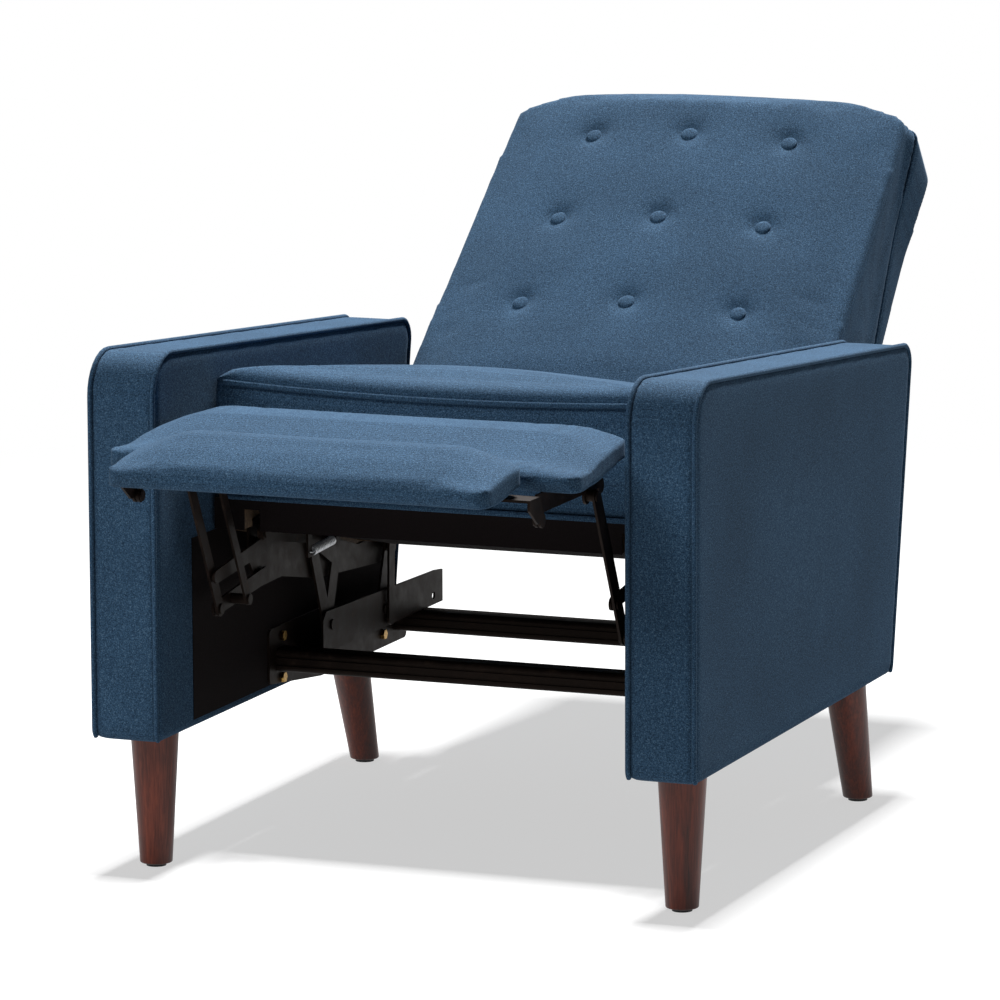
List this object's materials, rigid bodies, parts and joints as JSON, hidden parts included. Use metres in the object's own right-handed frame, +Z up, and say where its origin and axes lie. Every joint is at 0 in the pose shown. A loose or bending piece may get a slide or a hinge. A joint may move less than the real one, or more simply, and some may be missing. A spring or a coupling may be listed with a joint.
{
  "type": "recliner armchair",
  "caption": "Upholstered push-back recliner armchair with button-tufted back, padded arms, splayed tapered wood legs, and a steel linkage folding out a legrest with flip-out front pad.",
  "frame": {"origin": "on the floor, midway between the arms' outer sides and midway between the foremost and rearmost points of the opened chair", "axes": "+Z up, the chair faces -Y, +X is to its left-hand sitter's side; X = 0 is the mirror plane"},
  "size_m": [0.76, 1.4696, 0.8408],
  "materials": {
    "black_steel": "black semi-gloss enamel",
    "fabric": "heathered woven tweed",
    "glide": "moulded, matt",
    "lining": "plain black dust cloth",
    "timber": "unfinished plywood",
    "wood": "dark stained, satin lacquer",
    "yellow_zinc": "yellow zinc plating",
    "zinc": "bright zinc"
  },
  "bodies": {
    "frame": {"left_arm": "fabric", "right_arm": "fabric", "left_arm_panel": "lining", "right_arm_panel": "lining", "front_left_leg": "wood", "front_right_leg": "wood", "rear_left_leg": "wood", "rear_right_leg": "wood", "foot_glides": "glide", "left_base_plate": "black_steel", "right_base_plate": "black_steel", "left_rail": "black_steel", "right_rail": "black_steel", "front_cross_tube": "black_steel", "rear_cross_tube": "black_steel", "base_bolts": "yellow_zinc"},
    "front_rockers": {"left_front_rocker": "black_steel", "right_front_rocker": "black_steel"},
    "rear_rockers": {"left_rear_rocker": "black_steel", "right_rear_rocker": "black_steel"},
    "seat": {"seat_cushion": "fabric", "seat_frame": "timber", "seat_dust_cloth": "lining", "springs": "zinc", "left_seat_plate": "black_steel", "right_seat_plate": "black_steel"},
    "lower_links": {"left_lower_link": "black_steel", "right_lower_link": "black_steel"},
    "upper_links": {"left_upper_link": "black_steel", "right_upper_link": "black_steel"},
    "long_links": {"left_long_link": "black_steel", "right_long_link": "black_steel"},
    "brace_links": {"left_brace_link": "black_steel", "right_brace_link": "black_steel"},
    "drive_links": {"left_drive_link": "black_steel", "right_drive_link": "black_steel"},
    "legrest": {"legrest_pad": "fabric", "legrest_board": "lining", "left_legrest_bracket": "black_steel", "right_legrest_bracket": "black_steel"},
    "flipper": {"flipper_pad": "fabric", "flipper_board": "lining", "left_flipper_bracket": "black_steel", "right_flipper_bracket": "black_steel"},
    "backrest": {"back_cushion": "fabric", "outer_back": "fabric", "back_buttons": "fabric", "left_back_bracket": "black_steel", "right_back_bracket": "black_steel"},
    "back_links": {"left_back_link": "black_steel", "right_back_link": "black_steel"}
  },
  "joints": [
    {"name": "recline", "type": "hinge", "parent": "frame", "child": "front_rockers", "pos_m": [0, -0.02881, 0.236], "axis": [1, 0, 0], "range_deg": [0, 38]},
    {"name": "rear_rocker_turn", "type": "hinge", "parent": "frame", "child": "rear_rockers", "pos_m": [0, 0.14119, 0.226], "axis": [1, 0, 0], "range_deg": [0, 38.01]},
    {"name": "seat_ride", "type": "hinge", "parent": "front_rockers", "child": "seat", "pos_m": [0, -0.00113, 0.31637], "axis": [1, 0, 0], "range_deg": [-38.01, 0], "deforming": ["springs"]},
    {"name": "back_turn", "type": "hinge", "parent": "seat", "child": "backrest", "pos_m": [0, 0.18619, 0.425], "axis": [1, 0, 0], "range_deg": [0, 31.01]},
    {"name": "back_link_turn", "type": "hinge", "parent": "frame", "child": "back_links", "pos_m": [0, 0.15029, 0.2132], "axis": [1, 0, 0], "range_deg": [-6.1, 0]},
    {"name": "lower_link_turn", "type": "hinge", "parent": "seat", "child": "lower_links", "pos_m": [0, -0.21681, 0.3305], "axis": [1, 0, 0], "range_deg": [0, 88.01]},
    {"name": "upper_link_turn", "type": "hinge", "parent": "seat", "child": "upper_links", "pos_m": [0, -0.23827, 0.37343], "axis": [1, 0, 0], "range_deg": [0, 88.01]},
    {"name": "long_link_turn", "type": "hinge", "parent": "lower_links", "child": "long_links", "pos_m": [0, -0.36381, 0.314], "axis": [1, 0, 0], "range_deg": [-88.01, 0]},
    {"name": "brace_link_turn", "type": "hinge", "parent": "lower_links", "child": "brace_links", "pos_m": [0, -0.31909, 0.31902], "axis": [1, 0, 0], "range_deg": [-88.01, 0]},
    {"name": "legrest_turn", "type": "hinge", "parent": "long_links", "child": "legrest", "pos_m": [0, -0.45381, 0.494], "axis": [1, 0, 0], "range_deg": [0, 88.01]},
    {"name": "flipper_turn", "type": "hinge", "parent": "legrest", "child": "flipper", "pos_m": [0, -0.60781, 0.49], "axis": [1, 0, 0], "range_deg": [0, 178.01]},
    {"name": "drive_link_turn", "type": "hinge", "parent": "front_rockers", "child": "drive_links", "pos_m": [0, -0.07796, 0.35408], "axis": [1, 0, 0], "range_deg": [-46.24, 0]}
  ],
  "couplings": [
    {"joint": "rear_rocker_turn", "follows": "recline", "ratio": 1},
    {"joint": "seat_ride", "follows": "recline", "ratio": -1},
    {"joint": "back_turn", "follows": "recline", "ratio": 0.81579},
    {"joint": "back_link_turn", "follows": "recline", "ratio": -0.16037},
    {"joint": "lower_link_turn", "follows": "recline", "ratio": 2.3158},
    {"joint": "upper_link_turn", "follows": "recline", "ratio": 2.3158},
    {"joint": "long_link_turn", "follows": "recline", "ratio": -2.3158},
    {"joint": "brace_link_turn", "follows": "recline", "ratio": -2.3158},
    {"joint": "legrest_turn", "follows": "recline", "ratio": 2.3158},
    {"joint": "flipper_turn", "follows": "recline", "ratio": 4.6842},
    {"joint": "drive_link_turn", "follows": "recline", "ratio": -1.2166}
  ]
}
